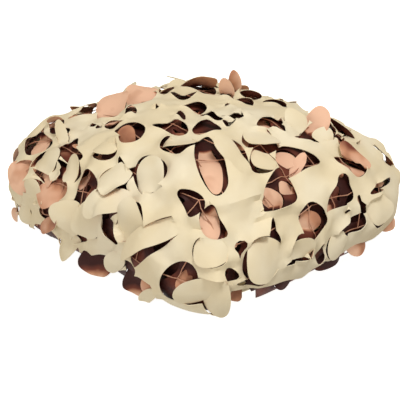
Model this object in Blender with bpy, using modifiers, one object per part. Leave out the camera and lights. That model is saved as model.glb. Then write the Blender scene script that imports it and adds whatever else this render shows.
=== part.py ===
"""Folded camouflage net: a leaf-cut cloth and its string support net, folded into a soft bundle.

Metres, +Z up. The origin is at the middle of the flat underside. The outer layer of the cloth is
worked out flat, as it is cut, and then laid over a dome: a point of the flat cloth is given by its
bearing round the crown (degrees from +X towards +Y) and its reach from the crown along the cloth.
"""
import math
import random
from collections import namedtuple

import bmesh
import bpy
import numpy as np
from mathutils import Vector, noise
from mathutils.bvhtree import BVHTree
from mathutils.geometry import delaunay_2d_cdt

# Bundle
HALF_LENGTH = 0.228          # half of the plan along X
HALF_WIDTH = 0.202           # half of the plan along Y
PLAN_POWER = 6.0             # corner squareness of the plan
CROWN_HEIGHT = 0.185
WAIST_HEIGHT = 0.050         # where the sides are widest
TOP_POWER = 2.7              # squareness of the shoulders
FOOT_POWER = 2.2             # squareness of the turned-in foot
FOOT_TURN = 0.97             # how far round its quarter the foot turns in, radians
FOOT_TUCK = 0.25             # share of that turn that narrows the plan
CORNER_DROP = 0.10           # share of the height lost at the four corners
RUMPLE_DEPTH = 0.005         # rise and fall of the outer layer
RUMPLE_SCALE = 9.0           # rumples per metre

# Cloth
THICKNESS = 0.0018
CUT_SPACING = 0.026          # point spacing of the flat cloth between cuts
CUT_CLEARANCE = 0.009        # from those points to a cut
HEM_CLEARANCE = 0.005        # from the hem to the floor
HEM_POINTS = 72
LEAF_POINTS = 8
NECK = 0.68                  # root width of a leaf, as a share of its width
LEAF_SHRINK = 0.90           # width of a leaf, as a share of its opening
LEAF_TIP_GAP = 0.004
FILL_LEAVES = 64             # leaves of the seeded rule, where the tables leave room
FILL_SEED = 7

# Folded layers inside
LAYERS = 14
LAYER_CELLS = 4              # cells each way in a layer
STACK_SHARE = 0.87           # plan of the stack, as a share of the dome
STACK_NARROWING = 0.20       # share of that plan lost by the top layer
STACK_TOP = 0.160            # height of the top layer in the middle
STACK_CROWN = 0.35           # share of the height lost at the dome's sides
FOLD_STEPS = 3

# Support net
STRING = 0.0018
NET_ROWS = 11                # meshes each way
NET_REACH = 0.305            # reach of the net's edge
TIE_GAP = 0.0006             # from the string to the cloth where the two are tied
TIE_EVERY = 3                # knots
SAG = 0.004                  # further inside the cloth between ties

Leaf = namedtuple("Leaf", "bearing reach heading length width lift curl")
# heading: 0 points down the slope, 90 towards a larger bearing, 180 to the crown
# lift: how steeply the leaf leaves the cloth; None is an opening with no leaf
# lengths in millimetres, angles in degrees, the place is the middle of the opening

TOP_LEAVES = [
    Leaf(175, 42, 90, 44, 26, None, 0),
    Leaf(303, 88, 85, 56, 18, None, 0),
    Leaf(328, 66, 350, 52, 18, None, 0),
    Leaf(355, 70, 90, 40, 14, None, 0),
    Leaf(65, 92, 60, 42, 28, 20, 10),
    Leaf(110, 62, 200, 38, 30, 45, 10),
    Leaf(143, 82, 180, 50, 40, 34, 12),
    Leaf(205, 108, 300, 48, 34, 25, 20),
    Leaf(228, 92, 285, 50, 18, None, 0),
    Leaf(303, 122, 0, 34, 36, 16, 10),
]
RIGHT_FACE_LEAVES = [
    Leaf(8, 116, 120, 32, 26, None, 0),
    Leaf(17, 140, 100, 36, 24, None, 0),
    Leaf(40, 150, 80, 52, 38, 30, 10),
    Leaf(357, 172, 105, 64, 42, None, 0),
    Leaf(342, 150, 15, 34, 32, 14, 10),
    Leaf(19, 196, 100, 54, 32, None, 0),
    Leaf(34, 205, 60, 44, 36, 26, 10),
    Leaf(343, 202, 130, 48, 36, None, 0),
    Leaf(8, 227, 145, 42, 20, None, 0),
    Leaf(25, 262, 0, 44, 28, 24, 10),
    Leaf(354, 255, 110, 42, 36, None, 0),
    Leaf(335, 232, 5, 42, 15, None, 0),
    Leaf(14, 283, 125, 42, 20, None, 0),
    Leaf(345, 284, 180, 32, 32, 18, 0),
]
NEAR_CORNER_LEAVES = [
    Leaf(317, 128, 180, 44, 26, None, 0),
    Leaf(329, 140, 180, 56, 32, 12, 5),
    Leaf(313, 186, 95, 40, 34, None, 0),
    Leaf(325, 222, 0, 44, 32, 30, 0),
    Leaf(318, 248, 0, 34, 34, 18, 5),
    Leaf(309, 284, 10, 60, 50, None, 0),
    Leaf(331, 272, 330, 54, 46, 16, 10),
]
LEFT_FACE_LEAVES = [
    Leaf(265, 138, 60, 40, 30, None, 0),
    Leaf(291, 168, 180, 44, 34, 22, 10),
    Leaf(261, 172, 0, 34, 34, 20, 10),
    Leaf(245, 180, 100, 38, 22, None, 0),
    Leaf(302, 226, 285, 66, 32, 24, 10),
    Leaf(279, 206, 335, 56, 36, 24, 10),
    Leaf(268, 218, 170, 42, 24, None, 0),
    Leaf(240, 212, 350, 50, 46, 20, 15),
    Leaf(284, 246, 275, 54, 28, 26, 10),
    Leaf(254, 256, 0, 54, 32, 22, 15),
    Leaf(233, 240, 60, 40, 38, 40, 20),
    Leaf(297, 268, 340, 40, 32, 22, 10),
    Leaf(241, 272, 0, 48, 28, 24, 15),
    Leaf(270, 272, 350, 48, 32, 22, 10),
    Leaf(283, 288, 60, 40, 22, None, 0),
]
HEM_LEAVES = [
    Leaf(bearing, 315, heading, 38, 30, lift, 10)
    for bearing, heading, lift in [
        (228, 350, 35), (246, 10, 45), (258, 355, 40), (270, 5, 50), (294, 350, 45),
        (321, 0, 40), (338, 5, 30), (352, 350, 45), (6, 10, 40), (22, 20, 45)]
]


def dome_section():
    """Reach along the cloth, plan share and height, from the crown down to the floor."""
    turn = np.linspace(0, math.pi / 2, 240)
    share = np.sin(turn) ** (2 / TOP_POWER)
    height = WAIST_HEIGHT + (CROWN_HEIGHT - WAIST_HEIGHT) * np.cos(turn) ** (2 / TOP_POWER)
    foot = np.linspace(0, FOOT_TURN, 60)[1:]
    foot_share = 1 - FOOT_TUCK * (1 - np.cos(foot) ** (2 / FOOT_POWER))
    foot_height = WAIST_HEIGHT * (1 - np.sin(foot) / math.sin(FOOT_TURN))
    share = np.concatenate([share, foot_share])
    height = np.concatenate([height, foot_height])
    mean_radius = (HALF_LENGTH + HALF_WIDTH) / 2
    steps = np.hypot(np.diff(share) * mean_radius, np.diff(height))
    return np.concatenate([[0.0], np.cumsum(steps)]), share, height


REACHES, SHARES, HEIGHTS = dome_section()
FULL_REACH = REACHES[-1]


def plan_radius(bearing):
    """Distance from the middle of the bundle to its side, at a bearing in radians."""
    across = abs(math.cos(bearing)) / HALF_LENGTH
    along = abs(math.sin(bearing)) / HALF_WIDTH
    return (across ** PLAN_POWER + along ** PLAN_POWER) ** (-1 / PLAN_POWER)


def dome(x, y):
    """Place on the dome of a point of the flat cloth."""
    reach = min(math.hypot(x, y), FULL_REACH)
    bearing = math.atan2(y, x)
    share = float(np.interp(reach, REACHES, SHARES))
    height = float(np.interp(reach, REACHES, HEIGHTS))
    radius = plan_radius(bearing) * share
    height *= 1 - CORNER_DROP * abs(math.sin(2 * bearing)) * share ** 3
    place = Vector((radius * math.cos(bearing), radius * math.sin(bearing), height))
    outward = Vector((place.x, place.y, place.z + 0.05)).normalized()
    settle = min(1.0, place.z / WAIST_HEIGHT)
    return place + outward * (RUMPLE_DEPTH * settle * noise.noise(place * RUMPLE_SCALE))


def dome_frame(x, y):
    """How the dome runs for a step in x and in y of the flat cloth, and its outward normal."""
    step = 0.002
    run_x = (dome(x + step, y) - dome(x - step, y)) / (2 * step)
    run_y = (dome(x, y + step) - dome(x, y - step)) / (2 * step)
    return run_x, run_y, run_x.cross(run_y).normalized()


def flat_place(bearing, reach):
    """Flat cloth point at a bearing in degrees and a reach in metres."""
    angle = math.radians(bearing)
    return Vector((reach * math.cos(angle), reach * math.sin(angle)))


class CutLeaf:
    """One leaf cut: its outline in the flat cloth, and where its tongue stands on the dome."""

    def __init__(self, leaf):
        self.leaf = leaf
        self.length = leaf.length / 1000
        self.width = leaf.width / 1000
        self.is_open = leaf.lift is None
        self.middle = flat_place(leaf.bearing, leaf.reach / 1000)
        run_x, run_y, normal = dome_frame(*self.middle)
        down = (run_x * self.middle.x + run_y * self.middle.y).normalized()
        east = normal.cross(down)
        angle = math.radians(leaf.heading)
        self.along = self.flat_step(run_x, run_y, down * math.cos(angle) + east * math.sin(angle))
        self.across = self.flat_step(run_x, run_y, east * math.cos(angle) - down * math.sin(angle))
        self.root = self.middle - self.along * (self.length / 2)

    @staticmethod
    def flat_step(run_x, run_y, direction):
        """Step in the flat cloth that runs along a direction on the dome."""
        matrix = [[run_x.dot(run_x), run_x.dot(run_y)], [run_x.dot(run_y), run_y.dot(run_y)]]
        step = np.linalg.solve(matrix, [run_x.dot(direction), run_y.dot(direction)])
        return Vector((float(step[0]), float(step[1])))

    def flat(self, forward, side):
        return self.root + self.along * forward + self.across * side

    def outline(self):
        """Flat points round the cut. An open cut is a full oval, a leaf's starts and ends at its root."""
        start = 0.0 if self.is_open else math.asin(NECK)
        count = LEAF_POINTS
        points = []
        for i in range(count):
            share = i / count if self.is_open else i / (count - 1)
            turn = start + (2 * math.pi - 2 * start) * share
            forward = self.length * (1 - math.cos(turn)) / 2
            points.append(self.flat(forward, -math.sin(turn) * self.width / 2))
        return points

    def spine(self):
        """Flat points along the middle of the leaf, where it bends."""
        return [self.flat(self.length * share, 0.0) for share in (0.35, 0.70)]

    def local(self, point):
        """Forward and side distance of a flat point from the root."""
        offset = point - self.root
        area = self.along.cross(self.across)
        return offset.cross(self.across) / area, self.along.cross(offset) / area

    def stand(self, point):
        """Place on the bent leaf of a flat point of the opening."""
        forward, side = self.local(point)
        share = max(0.0, forward / self.length)
        steps = 12
        reach = rise = 0.0
        piece = forward * (1 - LEAF_TIP_GAP / self.length) / steps
        for i in range(steps):
            along = share * (i + 0.5) / steps
            slope = math.radians(self.leaf.lift * min(1.0, along / 0.35) + self.leaf.curl * along)
            reach += piece * math.cos(slope)
            rise += piece * math.sin(slope)
        narrow = 1 - (1 - LEAF_SHRINK) * min(1.0, share * 3)
        flat = self.flat(reach, side * narrow)
        return dome(*flat) + dome_frame(*flat)[2] * rise


def in_outline(point, outline):
    """Whether a flat point lies inside a closed outline."""
    inside = False
    for i, here in enumerate(outline):
        before = outline[i - 1]
        if (here.y > point.y) != (before.y > point.y):
            cross = (before.x - here.x) * (point.y - here.y) / (before.y - here.y) + here.x
            inside ^= point.x < cross
    return inside


def outline_distance(point, outline):
    """Distance from a flat point to the nearest edge of an outline."""
    best = math.inf
    for i, here in enumerate(outline):
        edge = outline[i - 1] - here
        share = max(0.0, min(1.0, (point - here).dot(edge) / edge.length_squared))
        best = min(best, (here + edge * share - point).length)
    return best


def outlines_apart(outline, others, gap):
    """Whether an outline keeps a gap to every other one."""
    for other in others:
        if in_outline(outline[0], other) or in_outline(other[0], outline):
            return False
        near = min(outline_distance(point, other) for point in outline)
        near = min(near, min(outline_distance(point, outline) for point in other))
        if near < gap:
            return False
    return True


def cut_leaves():
    """The leaves of the tables, then more of the same kinds where there is room for them."""
    placed = []
    outlines = []
    tables = TOP_LEAVES + RIGHT_FACE_LEAVES + NEAR_CORNER_LEAVES + LEFT_FACE_LEAVES + HEM_LEAVES
    for leaf in tables:
        cut = CutLeaf(leaf)
        outline = cut.outline()
        if outlines_apart(outline, outlines, 0.0025):
            placed.append(cut)
            outlines.append(outline)
        else:
            print("no room for", leaf)
    chance = random.Random(FILL_SEED)
    tries = 0
    goal = len(placed) + FILL_LEAVES
    while len(placed) < goal and tries < 6000:
        tries += 1
        reach = 320 * math.sqrt(chance.uniform(0.02, 1.0))
        is_open = chance.random() < 0.4
        lift = None if is_open else chance.uniform(12, 26)
        leaf = Leaf(chance.uniform(0, 360), reach, chance.gauss(0, 50), chance.uniform(32, 54),
                    chance.uniform(22, 34), lift, 10)
        cut = CutLeaf(leaf)
        outline = cut.outline()
        if max(point.length for point in outline) > FULL_REACH - 0.012:
            continue
        if outlines_apart(outline, outlines, 0.006):
            placed.append(cut)
            outlines.append(outline)
    return placed, outlines


def hem_outline():
    """Edge of the flat cloth, in shallow scallops that stay clear of the floor."""
    points = []
    for i in range(HEM_POINTS):
        bearing = 2 * math.pi * i / HEM_POINTS
        scallop = 0.004 * (1 + math.sin(9 * bearing + 1)) + 0.003 * (1 + math.sin(17 * bearing))
        points.append(flat_place(math.degrees(bearing), FULL_REACH - HEM_CLEARANCE - scallop))
    return points


def loose_points(hem, outlines):
    """Points between the cuts, in staggered rows."""
    points = []
    rows = int(FULL_REACH / (CUT_SPACING * 0.866)) + 1
    for row in range(-rows, rows + 1):
        for column in range(-rows, rows + 1):
            point = Vector(((column + 0.5 * (row % 2)) * CUT_SPACING, row * CUT_SPACING * 0.866))
            if not in_outline(point, hem) or outline_distance(point, hem) < CUT_CLEARANCE:
                continue
            if any(in_outline(point, outline) for outline in outlines):
                continue
            if all(outline_distance(point, outline) > CUT_CLEARANCE for outline in outlines):
                points.append(point)
    return points


def build_outer_layer(mesh):
    """The leaf-cut outer layer: triangles of the flat cloth, with the leaves cut free and bent."""
    cuts, outlines = cut_leaves()
    hem = hem_outline()
    points = list(hem)
    loops = [list(range(len(hem)))]
    for cut, outline in zip(cuts, outlines):
        loops.append(list(range(len(points), len(points) + len(outline))))
        points += outline
        if not cut.is_open:
            points += cut.spine()
    points += loose_points(hem, outlines)
    flat, _, faces, _, _, owners = delaunay_2d_cdt(points, [], loops, 1, 1e-6, True)

    sheet = {}
    tongue = {}
    roots = [{(round(loop[0].x, 6), round(loop[0].y, 6)), (round(loop[-1].x, 6), round(loop[-1].y, 6))}
             for loop in outlines]

    def sheet_vertex(i):
        if i not in sheet:
            sheet[i] = mesh.verts.new(dome(*flat[i]))
        return sheet[i]

    def tongue_vertex(i, owner):
        key = (round(flat[i].x, 6), round(flat[i].y, 6))
        if key in roots[owner]:
            return sheet_vertex(i)
        if (i, owner) not in tongue:
            tongue[i, owner] = mesh.verts.new(cuts[owner].stand(flat[i]))
        return tongue[i, owner]

    for face, owner in zip(faces, owners):
        leaf = [i - 1 for i in owner if i > 0]
        if not owner:
            continue
        if not leaf:
            mesh.faces.new([sheet_vertex(i) for i in face])
        elif not cuts[leaf[0]].is_open:
            mesh.faces.new([tongue_vertex(i, leaf[0]) for i in face])
    print("leaf cuts", len(cuts), "open", sum(cut.is_open for cut in cuts))
    return [sheet_vertex(i) for i in range(HEM_POINTS)]


def layer_place(layer, u, v):
    """Point of a folded layer. u and v run from -1 to 1 along X and Y."""
    share = layer / (LAYERS - 1)
    shrink = STACK_SHARE * (1 - STACK_NARROWING * share ** 3)
    across = shrink * u * (1 - 0.10 * abs(v) ** 3)
    along = shrink * v * (1 - 0.10 * abs(u) ** 3)
    plan_share = (abs(across) ** PLAN_POWER + abs(along) ** PLAN_POWER) ** (1 / PLAN_POWER)
    crown = 1 - STACK_CROWN * plan_share ** 3
    height = THICKNESS / 2 + (STACK_TOP - THICKNESS) * share * crown
    return Vector((HALF_LENGTH * across, HALF_WIDTH * along, height))


def build_stack(mesh):
    """The layers inside, folded back and forth along X. Gives the free edge of the bottom one."""
    rows = []
    cells = [2 * i / LAYER_CELLS - 1 for i in range(LAYER_CELLS + 1)]
    for layer in range(LAYERS):
        way = 1 if layer % 2 == 0 else -1
        for u in cells:
            rows.append([layer_place(layer, u * way, v) for v in cells])
        if layer == LAYERS - 1:
            break
        for step in range(1, FOLD_STEPS):
            turn = math.pi * step / FOLD_STEPS
            fold = []
            for v in cells:
                low = layer_place(layer, way, v)
                high = layer_place(layer + 1, way, v)
                rise = (high - low) * (1 - math.cos(turn)) / 2
                bulge = Vector((way * (high - low).length / 2 * math.sin(turn), 0, 0))
                fold.append(low + rise + bulge)
            rows.append(fold)
    grid = [[mesh.verts.new(place) for place in row] for row in rows]
    for row, after in zip(grid, grid[1:]):
        for j in range(LAYER_CELLS):
            mesh.faces.new((row[j], after[j], after[j + 1], row[j + 1]))
    return grid[0]


def join_foot(mesh, hem, edge):
    """Carry the hem on at the -X foot into the bottom layer, as one piece of cloth."""
    middle = HEM_POINTS // 2
    half = len(edge) // 2
    chosen = hem[middle - half:middle + half + 1]
    chosen.sort(key=lambda vertex: vertex.co.y)
    for j in range(len(edge) - 1):
        mesh.faces.new((chosen[j], chosen[j + 1], edge[j + 1], edge[j]))


def build_net(collection, cloth_mesh):
    """Square meshes of string under the cloth, tied close to it at every third knot."""
    tree = BVHTree.FromBMesh(cloth_mesh)
    mesh = bmesh.new()
    knots = {}

    def knot(i, j):
        if (i, j) not in knots:
            u = 2 * i / NET_ROWS - 1
            v = 2 * j / NET_ROWS - 1
            reach = NET_REACH * max(abs(u), abs(v))
            flat = flat_place(math.degrees(math.atan2(v, u)), reach)
            place = dome(*flat)
            inward = -dome_frame(*flat)[2]
            near, _, _, _ = tree.find_nearest(place)
            tied = (i + j) % TIE_EVERY == 0
            depth = THICKNESS / 2 + STRING / 2 + TIE_GAP + (0 if tied else SAG)
            depth += max(0.0, (near - place).dot(inward))
            knots[i, j] = mesh.verts.new(place + inward * depth)
        return knots[i, j]

    for i in range(NET_ROWS):
        for j in range(NET_ROWS):
            mesh.faces.new((knot(i, j), knot(i + 1, j), knot(i + 1, j + 1), knot(i, j + 1)))
    net = part_object("support_net", mesh, collection, material("string", (0.30, 0.13, 0.07), 0.75))
    strings = net.modifiers.new("Strings", "WIREFRAME")
    strings.thickness = STRING
    strings.offset = 0.0
    strings.use_even_offset = False
    strings.use_boundary = True
    return net


def material(name, colour, roughness):
    made = bpy.data.materials.new(name)
    made.use_nodes = True
    shader = made.node_tree.nodes["Principled BSDF"]
    shader.inputs["Base Color"].default_value = (*colour, 1.0)
    shader.inputs["Roughness"].default_value = roughness
    return made


def part_object(name, mesh, collection, finish):
    data = bpy.data.meshes.new(name)
    mesh.to_mesh(data)
    mesh.free()
    made = bpy.data.objects.new(name, data)
    made.data.materials.append(finish)
    collection.objects.link(made)
    return made


def build_cloth(collection):
    """The cloth, and the net tied inside its outer layer."""
    mesh = bmesh.new()
    hem = build_outer_layer(mesh)
    build_net(collection, mesh)
    edge = build_stack(mesh)
    join_foot(mesh, hem, edge)
    bmesh.ops.recalc_face_normals(mesh, faces=mesh.faces)
    cloth = part_object("camo_cloth", mesh, collection, material("cloth", (0.79, 0.70, 0.51), 0.65))
    solid = cloth.modifiers.new("Cloth thickness", "SOLIDIFY")
    solid.thickness = THICKNESS
    solid.offset = 0.0
    return cloth


def main():
    for thing in list(bpy.data.objects):
        bpy.data.objects.remove(thing, do_unlink=True)
    collection = bpy.data.collections.new("folded_camouflage_net")
    bpy.context.scene.collection.children.link(collection)
    build_cloth(collection)


main()
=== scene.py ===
# %% [markdown]
# # A folded camouflage net
#
# The object is a leaf-cut net folded up into a soft bundle. Coated cloth, sand coloured on its
# face and pinkish brown on its back, is slit with curved cuts. Each cut frees a tongue, the leaf,
# which stands off the cloth and leaves an oval opening. Through the openings show the strings of a
# support net and the next folds, which lie with their brown back outwards.
#
# The frame is imported first, and everything below is laid over one dome.

# %% The frame
import math
import random
from collections import namedtuple

import bmesh
import bpy
import numpy as np
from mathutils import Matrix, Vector, noise
from mathutils.geometry import delaunay_2d_cdt


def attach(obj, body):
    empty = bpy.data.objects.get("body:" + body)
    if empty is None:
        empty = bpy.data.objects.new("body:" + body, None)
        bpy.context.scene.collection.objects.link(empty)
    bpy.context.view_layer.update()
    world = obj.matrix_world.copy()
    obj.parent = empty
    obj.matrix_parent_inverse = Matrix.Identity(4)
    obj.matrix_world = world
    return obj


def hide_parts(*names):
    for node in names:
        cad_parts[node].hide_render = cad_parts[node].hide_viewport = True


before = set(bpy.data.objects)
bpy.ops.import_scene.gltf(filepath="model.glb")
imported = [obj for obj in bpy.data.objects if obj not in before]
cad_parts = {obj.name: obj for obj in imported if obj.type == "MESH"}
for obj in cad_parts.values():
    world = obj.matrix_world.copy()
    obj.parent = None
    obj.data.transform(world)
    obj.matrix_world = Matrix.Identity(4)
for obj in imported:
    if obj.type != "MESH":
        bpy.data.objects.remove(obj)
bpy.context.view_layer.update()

# %% [markdown]
# ## The camera
#
# The bundle is seen over its near corner, from a little above. A bearing, a height and a distance
# place the camera, and a long lens keeps the sides of the bundle nearly parallel.

# %% Camera
VIEW_BEARING = math.radians(46)
VIEW_HEIGHT = math.radians(24)
VIEW_DISTANCE = 1.35
VIEW_TARGET = Vector((0.004, -0.004, 0.045))
LENS = 86


def look_from(bearing, height):
    """Direction from the bundle to something at a bearing and a height, in radians."""
    level = math.cos(height)
    return Vector((math.sin(bearing) * level, -math.cos(bearing) * level, math.sin(height)))


def add_object(name, data):
    made = bpy.data.objects.new(name, data)
    bpy.context.scene.collection.objects.link(made)
    return made


def turn_to(thing, target):
    thing.rotation_euler = (target - thing.location).to_track_quat("-Z", "Y").to_euler()


camera = add_object("camera", bpy.data.cameras.new("camera"))
camera.location = VIEW_TARGET + look_from(VIEW_BEARING, VIEW_HEIGHT) * VIEW_DISTANCE
turn_to(camera, VIEW_TARGET)
camera.data.lens = LENS
bpy.context.scene.camera = camera
print("camera stands at", tuple(round(value, 3) for value in camera.location))

# %% [markdown]
# ## Shaders as expressions
#
# A finish is easier to read as arithmetic than as a list of nodes and links. `Wire` wraps one
# socket and turns + - * into Math nodes, and `Finish` makes every other node with one method.

# %% Socket wrapper
class Wire:
    """One socket of a node tree, with arithmetic that adds Math nodes."""

    def __init__(self, finish, socket):
        self.finish = finish
        self.socket = socket

    def math(self, operation, *values):
        return self.finish.node("Math", {"operation": operation}, dict(enumerate((self, *values))))

    def __add__(self, other):
        return self.math("ADD", other)

    def __mul__(self, other):
        return self.math("MULTIPLY", other)

    def __sub__(self, other):
        return self.math("SUBTRACT", other)

    def __rsub__(self, other):
        return (self * -1.0) + other


class Finish:
    """A material under construction."""

    def __init__(self, name):
        self.material = bpy.data.materials.new(name)
        self.material.use_nodes = True
        self.tree = self.material.node_tree
        self.shader = self.tree.nodes["Principled BSDF"]

    def node(self, kind, settings=None, inputs=None, output=0):
        made = self.tree.nodes.new("ShaderNode" + kind)
        for name, value in (settings or {}).items():
            if name == "stops":
                self.set_stops(made.color_ramp, value)
            else:
                setattr(made, name, value)
        self.feed(inputs or {}, made)
        return Wire(self, made.outputs[output])

    @staticmethod
    def set_stops(ramp, stops):
        while len(ramp.elements) < len(stops):
            ramp.elements.new(0.5)
        for element, (place, colour) in zip(ramp.elements, stops):
            element.position = place
            element.color = (*colour, 1.0)

    def mix(self, factor, first, second):
        """Colour between two colours."""
        return self.node("Mix", {"data_type": "RGBA"}, {0: factor, 6: first, 7: second}, output=2)

    def feed(self, values, node=None):
        """Link wires to the sockets of a node, or of the shader, and set plain values on them."""
        sockets = (node or self.shader).inputs
        for key, value in values.items():
            if isinstance(value, Wire):
                self.tree.links.new(value.socket, sockets[key])
            else:
                sockets[key].default_value = value


print("shader helpers ready")

# %% [markdown]
# ## The finishes
#
# The cloth is a light weave with a matt plastic coating. The face is sand, a little uneven where
# the coating is thin, and rubbed paler in places. The back goes from pink to dark red, and its
# near-black maroon end is painted shade, for the dark deep inside the openings.

# %% Sand face, brown back, and string
def rgb(red, green, blue):
    return (red, green, blue, 1.0)


Patches = namedtuple("Patches", "scale detail low high seed")
# low, high: the noise values that give 0 and 1
PALE = Patches(14, 3, 0.35, 0.70, 0)
RUBBED = Patches(90, 5, 0.62, 0.80, 5)
UNEVEN = Patches(22, 2, 0.30, 0.70, 4)
SCUFFS = Patches(70, 4, 0.45, 0.75, 3)
CREASES = Patches(34, 3, 0.25, 0.80, 9)
GRAIN = Patches(240, 2, 0.3, 0.7, 1)
FIBRE = Patches(60, 2, 0.35, 0.65, 0)
WEAVE_SCALE = 260
CREASE_SHARE = 1.6  # how much each kind of relief adds to the bump
GRAIN_SHARE = 0.12
WEAVE_SHARE = 0.05
SCUFF_GLOSS = 0.10  # how much less rough the scuffs are
TONE_NOISE = 0.22
# pink, terracotta and dark red are the back's own colours; the near-black maroon is painted shade
BACK_AND_SHADE_TONES = [(0.12, (0.86, 0.54, 0.38)), (0.38, (0.58, 0.28, 0.165)), (0.60, (0.19, 0.052, 0.032)),
              (0.88, (0.045, 0.012, 0.010))]


def patches(finish, kind):
    """Soft-edged patches, 0 to 1, from a noise on the object's own coordinates."""
    place = finish.node("TexCoord", output=3)
    moved = finish.node("Mapping", {}, {"Vector": place, "Location": (kind.seed,) * 3})
    value = finish.node("TexNoise", {},
                        {"Vector": moved, "Scale": kind.scale, "Detail": kind.detail})
    return finish.node("MapRange", {"interpolation_type": "SMOOTHSTEP"},
                       {"Value": value, "From Min": kind.low, "From Max": kind.high})


def weave_height(finish):
    """Height of the weave under the coating, on the cloth's own flat coordinates."""
    flat = finish.node("UVMap", {"uv_map": "flat"})
    threads = {"Vector": flat, "Scale": WEAVE_SCALE}
    warp, weft = (finish.node("TexWave", {"bands_direction": way}, threads) for way in "XY")
    return warp * weft


def cloth_finish(name, colour, rough, shine, bump):
    """Coated cloth: a colour wire, its roughness, and soft creases over a fine weave."""
    finish = Finish(name)
    height = patches(finish, CREASES) * CREASE_SHARE + patches(finish, GRAIN) * GRAIN_SHARE
    height = height + weave_height(finish) * WEAVE_SHARE
    finish.feed({
        "Base Color": colour(finish),
        "Roughness": rough - patches(finish, SCUFFS) * SCUFF_GLOSS,
        "Specular IOR Level": shine,
        "Normal": finish.node("Bump", {}, {"Strength": bump, "Distance": 0.001, "Height": height})})
    return finish.material


def sand_colour(finish):
    colour = finish.mix(patches(finish, PALE), rgb(0.81, 0.70, 0.485), rgb(0.87, 0.785, 0.60))
    return finish.mix(patches(finish, RUBBED) * 0.35, colour, rgb(0.88, 0.81, 0.65))


def brown_and_shade_colour(finish):
    """Pink, terracotta, dark red, or near-black maroon that is painted shade, by the tone that the
    mesh carries and a little noise.
    """
    tone = finish.node("Attribute", {"attribute_name": "tone"}, output=2)
    tone = tone + patches(finish, UNEVEN) * (2 * TONE_NOISE) - TONE_NOISE
    return finish.node("ValToRGB", {"stops": BACK_AND_SHADE_TONES}, {"Fac": tone})


def string_colour(finish):
    return finish.mix(patches(finish, FIBRE), rgb(0.46, 0.20, 0.12), rgb(0.62, 0.34, 0.22))


SAND = cloth_finish("sand_face", sand_colour, rough=0.72, shine=0.18, bump=0.35)
BROWN_AND_SHADE = cloth_finish("brown_back_and_shade", brown_and_shade_colour, rough=0.58, shine=0.12, bump=0.40)
string_finish = Finish("net_string")
string_finish.feed({"Base Color": string_colour(string_finish), "Roughness": 0.7})
STRING = string_finish.material
print("finishes", [finish.name for finish in (SAND, BROWN_AND_SHADE, STRING)])

# %% [markdown]
# ## The dome
#
# The outer layer is worked out flat, as it is cut, and laid over a dome afterwards. A point of
# the flat cloth is given by its bearing round the crown and its reach from the crown, measured
# along the cloth. The dome has a rounded rectangle for a plan and a rounded shoulder for a section.

# %% Sizes of the bundle and its section
HALF_LENGTH = 0.228  # lengths are in metres where nothing else is said
HALF_WIDTH = 0.202
CROWN_HEIGHT = 0.185
WAIST_HEIGHT = 0.050  # the widest place, with the foot under it
PLAN_POWER = 6.0  # powers: 2 is round, more is squarer
TOP_POWER = 2.7
FOOT_POWER = 2.2
FOOT_TURN = 0.97
FOOT_TUCK = 0.25
CORNER_DROP = 0.10
RUMPLE_DEPTH = 0.009  # long waves of all layers alike
RUMPLE_SCALE = 9.0
WRINKLE_SCALE = 32.0  # short waves
WRINKLE_SEED = 5.0


def dome_section():
    """Reach along the cloth, plan share and height, from the crown down to the floor."""
    turn = np.linspace(0, math.pi / 2, 240)
    share = np.sin(turn) ** (2 / TOP_POWER)
    height = WAIST_HEIGHT + (CROWN_HEIGHT - WAIST_HEIGHT) * np.cos(turn) ** (2 / TOP_POWER)
    foot = np.linspace(0, FOOT_TURN, 60)[1:]
    foot_share = 1 - FOOT_TUCK * (1 - np.cos(foot) ** (2 / FOOT_POWER))
    foot_height = WAIST_HEIGHT * (1 - np.sin(foot) / math.sin(FOOT_TURN))
    share = np.concatenate([share, foot_share])
    height = np.concatenate([height, foot_height])
    steps = np.hypot(np.diff(share) * (HALF_LENGTH + HALF_WIDTH) / 2, np.diff(height))
    return np.concatenate([[0.0], np.cumsum(steps)]), share, height


REACHES, SHARES, HEIGHTS = dome_section()
FULL_REACH = REACHES[-1]
print("reach from the crown to the floor", round(FULL_REACH, 3), "m")

# %% [markdown]
# ## From flat cloth to the dome
#
# `smooth_dome` carries flat points to the dome: the reach picks a place on the section, the bearing
# a place on the rounded plan. Layers differ only in how deep they lie and how they are rumpled.

# %% From flat cloth to the dome
def flat_place(bearing, reach):
    angle = math.radians(bearing)
    return np.array([reach * math.cos(angle), reach * math.sin(angle)])


Layer = namedtuple("Layer", "depth foot wrinkle")
# depth, foot: how far inside the outer layer, and the same near the floor, where layers bunch up;
# wrinkle: depth of its short waves
OUTER = Layer(0.0, 0.0, 0.003)
SECOND = Layer(0.012, 0.009, 0.003)
THIRD = Layer(0.028, 0.015, 0.006)
FLAT_STEP = 0.002  # half the span over which the slope of the dome is measured
FOOT_START = 0.26  # reaches between which depth turns into foot
FOOT_END = 0.32


def depth_at(flat, layer):
    share = (np.hypot(*flat.T) - FOOT_START) / (FOOT_END - FOOT_START)
    return layer.depth + (layer.foot - layer.depth) * share.clip(0, 1)


def waves(places, scale, seed):
    """Smooth noise, about -0.5 to 0.5, at each place."""
    return np.array([noise.noise(Vector(place) * scale + Vector((seed, 0, 0))) for place in places])


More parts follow.
